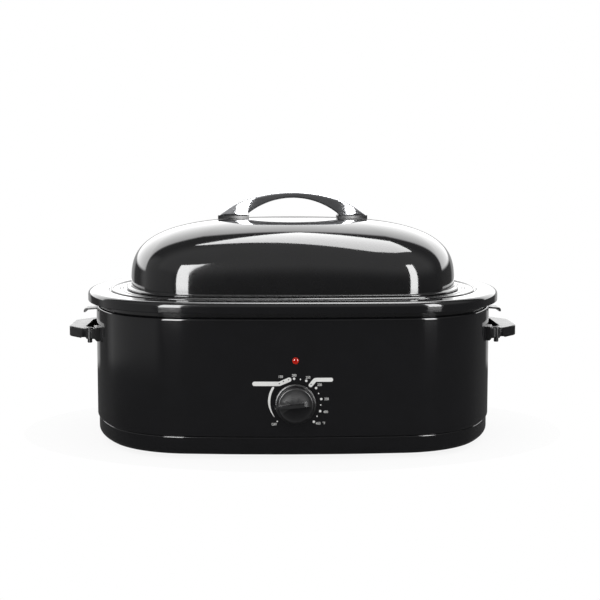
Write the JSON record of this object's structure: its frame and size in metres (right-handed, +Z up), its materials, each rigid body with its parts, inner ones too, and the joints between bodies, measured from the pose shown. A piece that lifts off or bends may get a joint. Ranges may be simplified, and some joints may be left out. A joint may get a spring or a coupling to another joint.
{
  "type": "electric roaster oven",
  "caption": "Oval countertop roaster oven with a heated well, lift-out enamel pan, wire rack, domed lift-off lid, side handles and a front temperature knob.",
  "frame": {"origin": "middle of the oval on the worktop, under the feet", "axes": "+X to the right along the oval, -Y towards the front with the knob, +Z up"},
  "size_m": [0.59, 0.428, 0.3196],
  "materials": {
    "black_enamel": "glossy porcelain enamel",
    "black_phenolic": "satin moulded phenolic",
    "chrome": "bright chrome plate",
    "plated_steel": "zinc plate",
    "bright_aluminium": "aluminised sheet",
    "mica_steel": "heat-stained steel over mica",
    "glass_fibre": "loose fibre",
    "ceramic": "unglazed ceramic",
    "rubber": "matt",
    "wire_sleeve": "braided sleeve",
    "lens": "clear tinted",
    "lamp_glass": "clear"
  },
  "bodies": {
    "housing": {"base_pan": "black_enamel", "rubber_feet": "rubber", "tie_posts": "plated_steel", "base_screws": "plated_steel", "heat_shield": "bright_aluminium", "outer_casing": "black_enamel", "well_liner": "black_enamel", "rim_collar": "black_enamel", "heating_band": "mica_steel", "band_clips": "plated_steel", "insulation_blanket": "glass_fibre", "thermostat_bracket": "plated_steel", "thermostat_body": "ceramic", "thermostat_screws": "plated_steel", "indicator_lens": "lens", "indicator_lamp": "lamp_glass", "lens_clip": "plated_steel", "cord_gland": "rubber", "terminal_block": "ceramic", "lead_wires": "wire_sleeve", "side_handle_right": "black_phenolic", "side_handle_left": "black_phenolic", "side_handle_screws": "plated_steel", "lid_rest_right": "black_phenolic", "lid_rest_left": "black_phenolic"},
    "knob": {"control_knob": "black_phenolic", "thermostat_shaft": "plated_steel"},
    "pan": {"roasting_pan": "black_enamel"},
    "rack": {"roasting_rack": "chrome"},
    "lid": {"lid_shell": "black_enamel", "lid_handle": "chrome", "lid_handle_pads": "black_phenolic", "lid_handle_washers": "plated_steel", "lid_handle_screws": "plated_steel"}
  },
  "joints": [
    {"name": "knob_turn", "type": "hinge", "parent": "housing", "child": "knob", "pos_m": [0, -0.197, 0.069], "axis": [0, -1, 0], "range_deg": [-229.6, 39]},
    {"name": "pan_lift", "type": "slide", "parent": "housing", "child": "pan", "axis": [0, 0, 1], "range_m": [0, 0.17]},
    {"name": "lid_lift", "type": "slide", "parent": "pan", "child": "lid", "axis": [0, 0, 1], "range_m": [0, 0.15]},
    {"name": "rack_lift", "type": "slide", "parent": "pan", "child": "rack", "axis": [0, 0, 1], "range_m": [0, 0.125]}
  ]
}
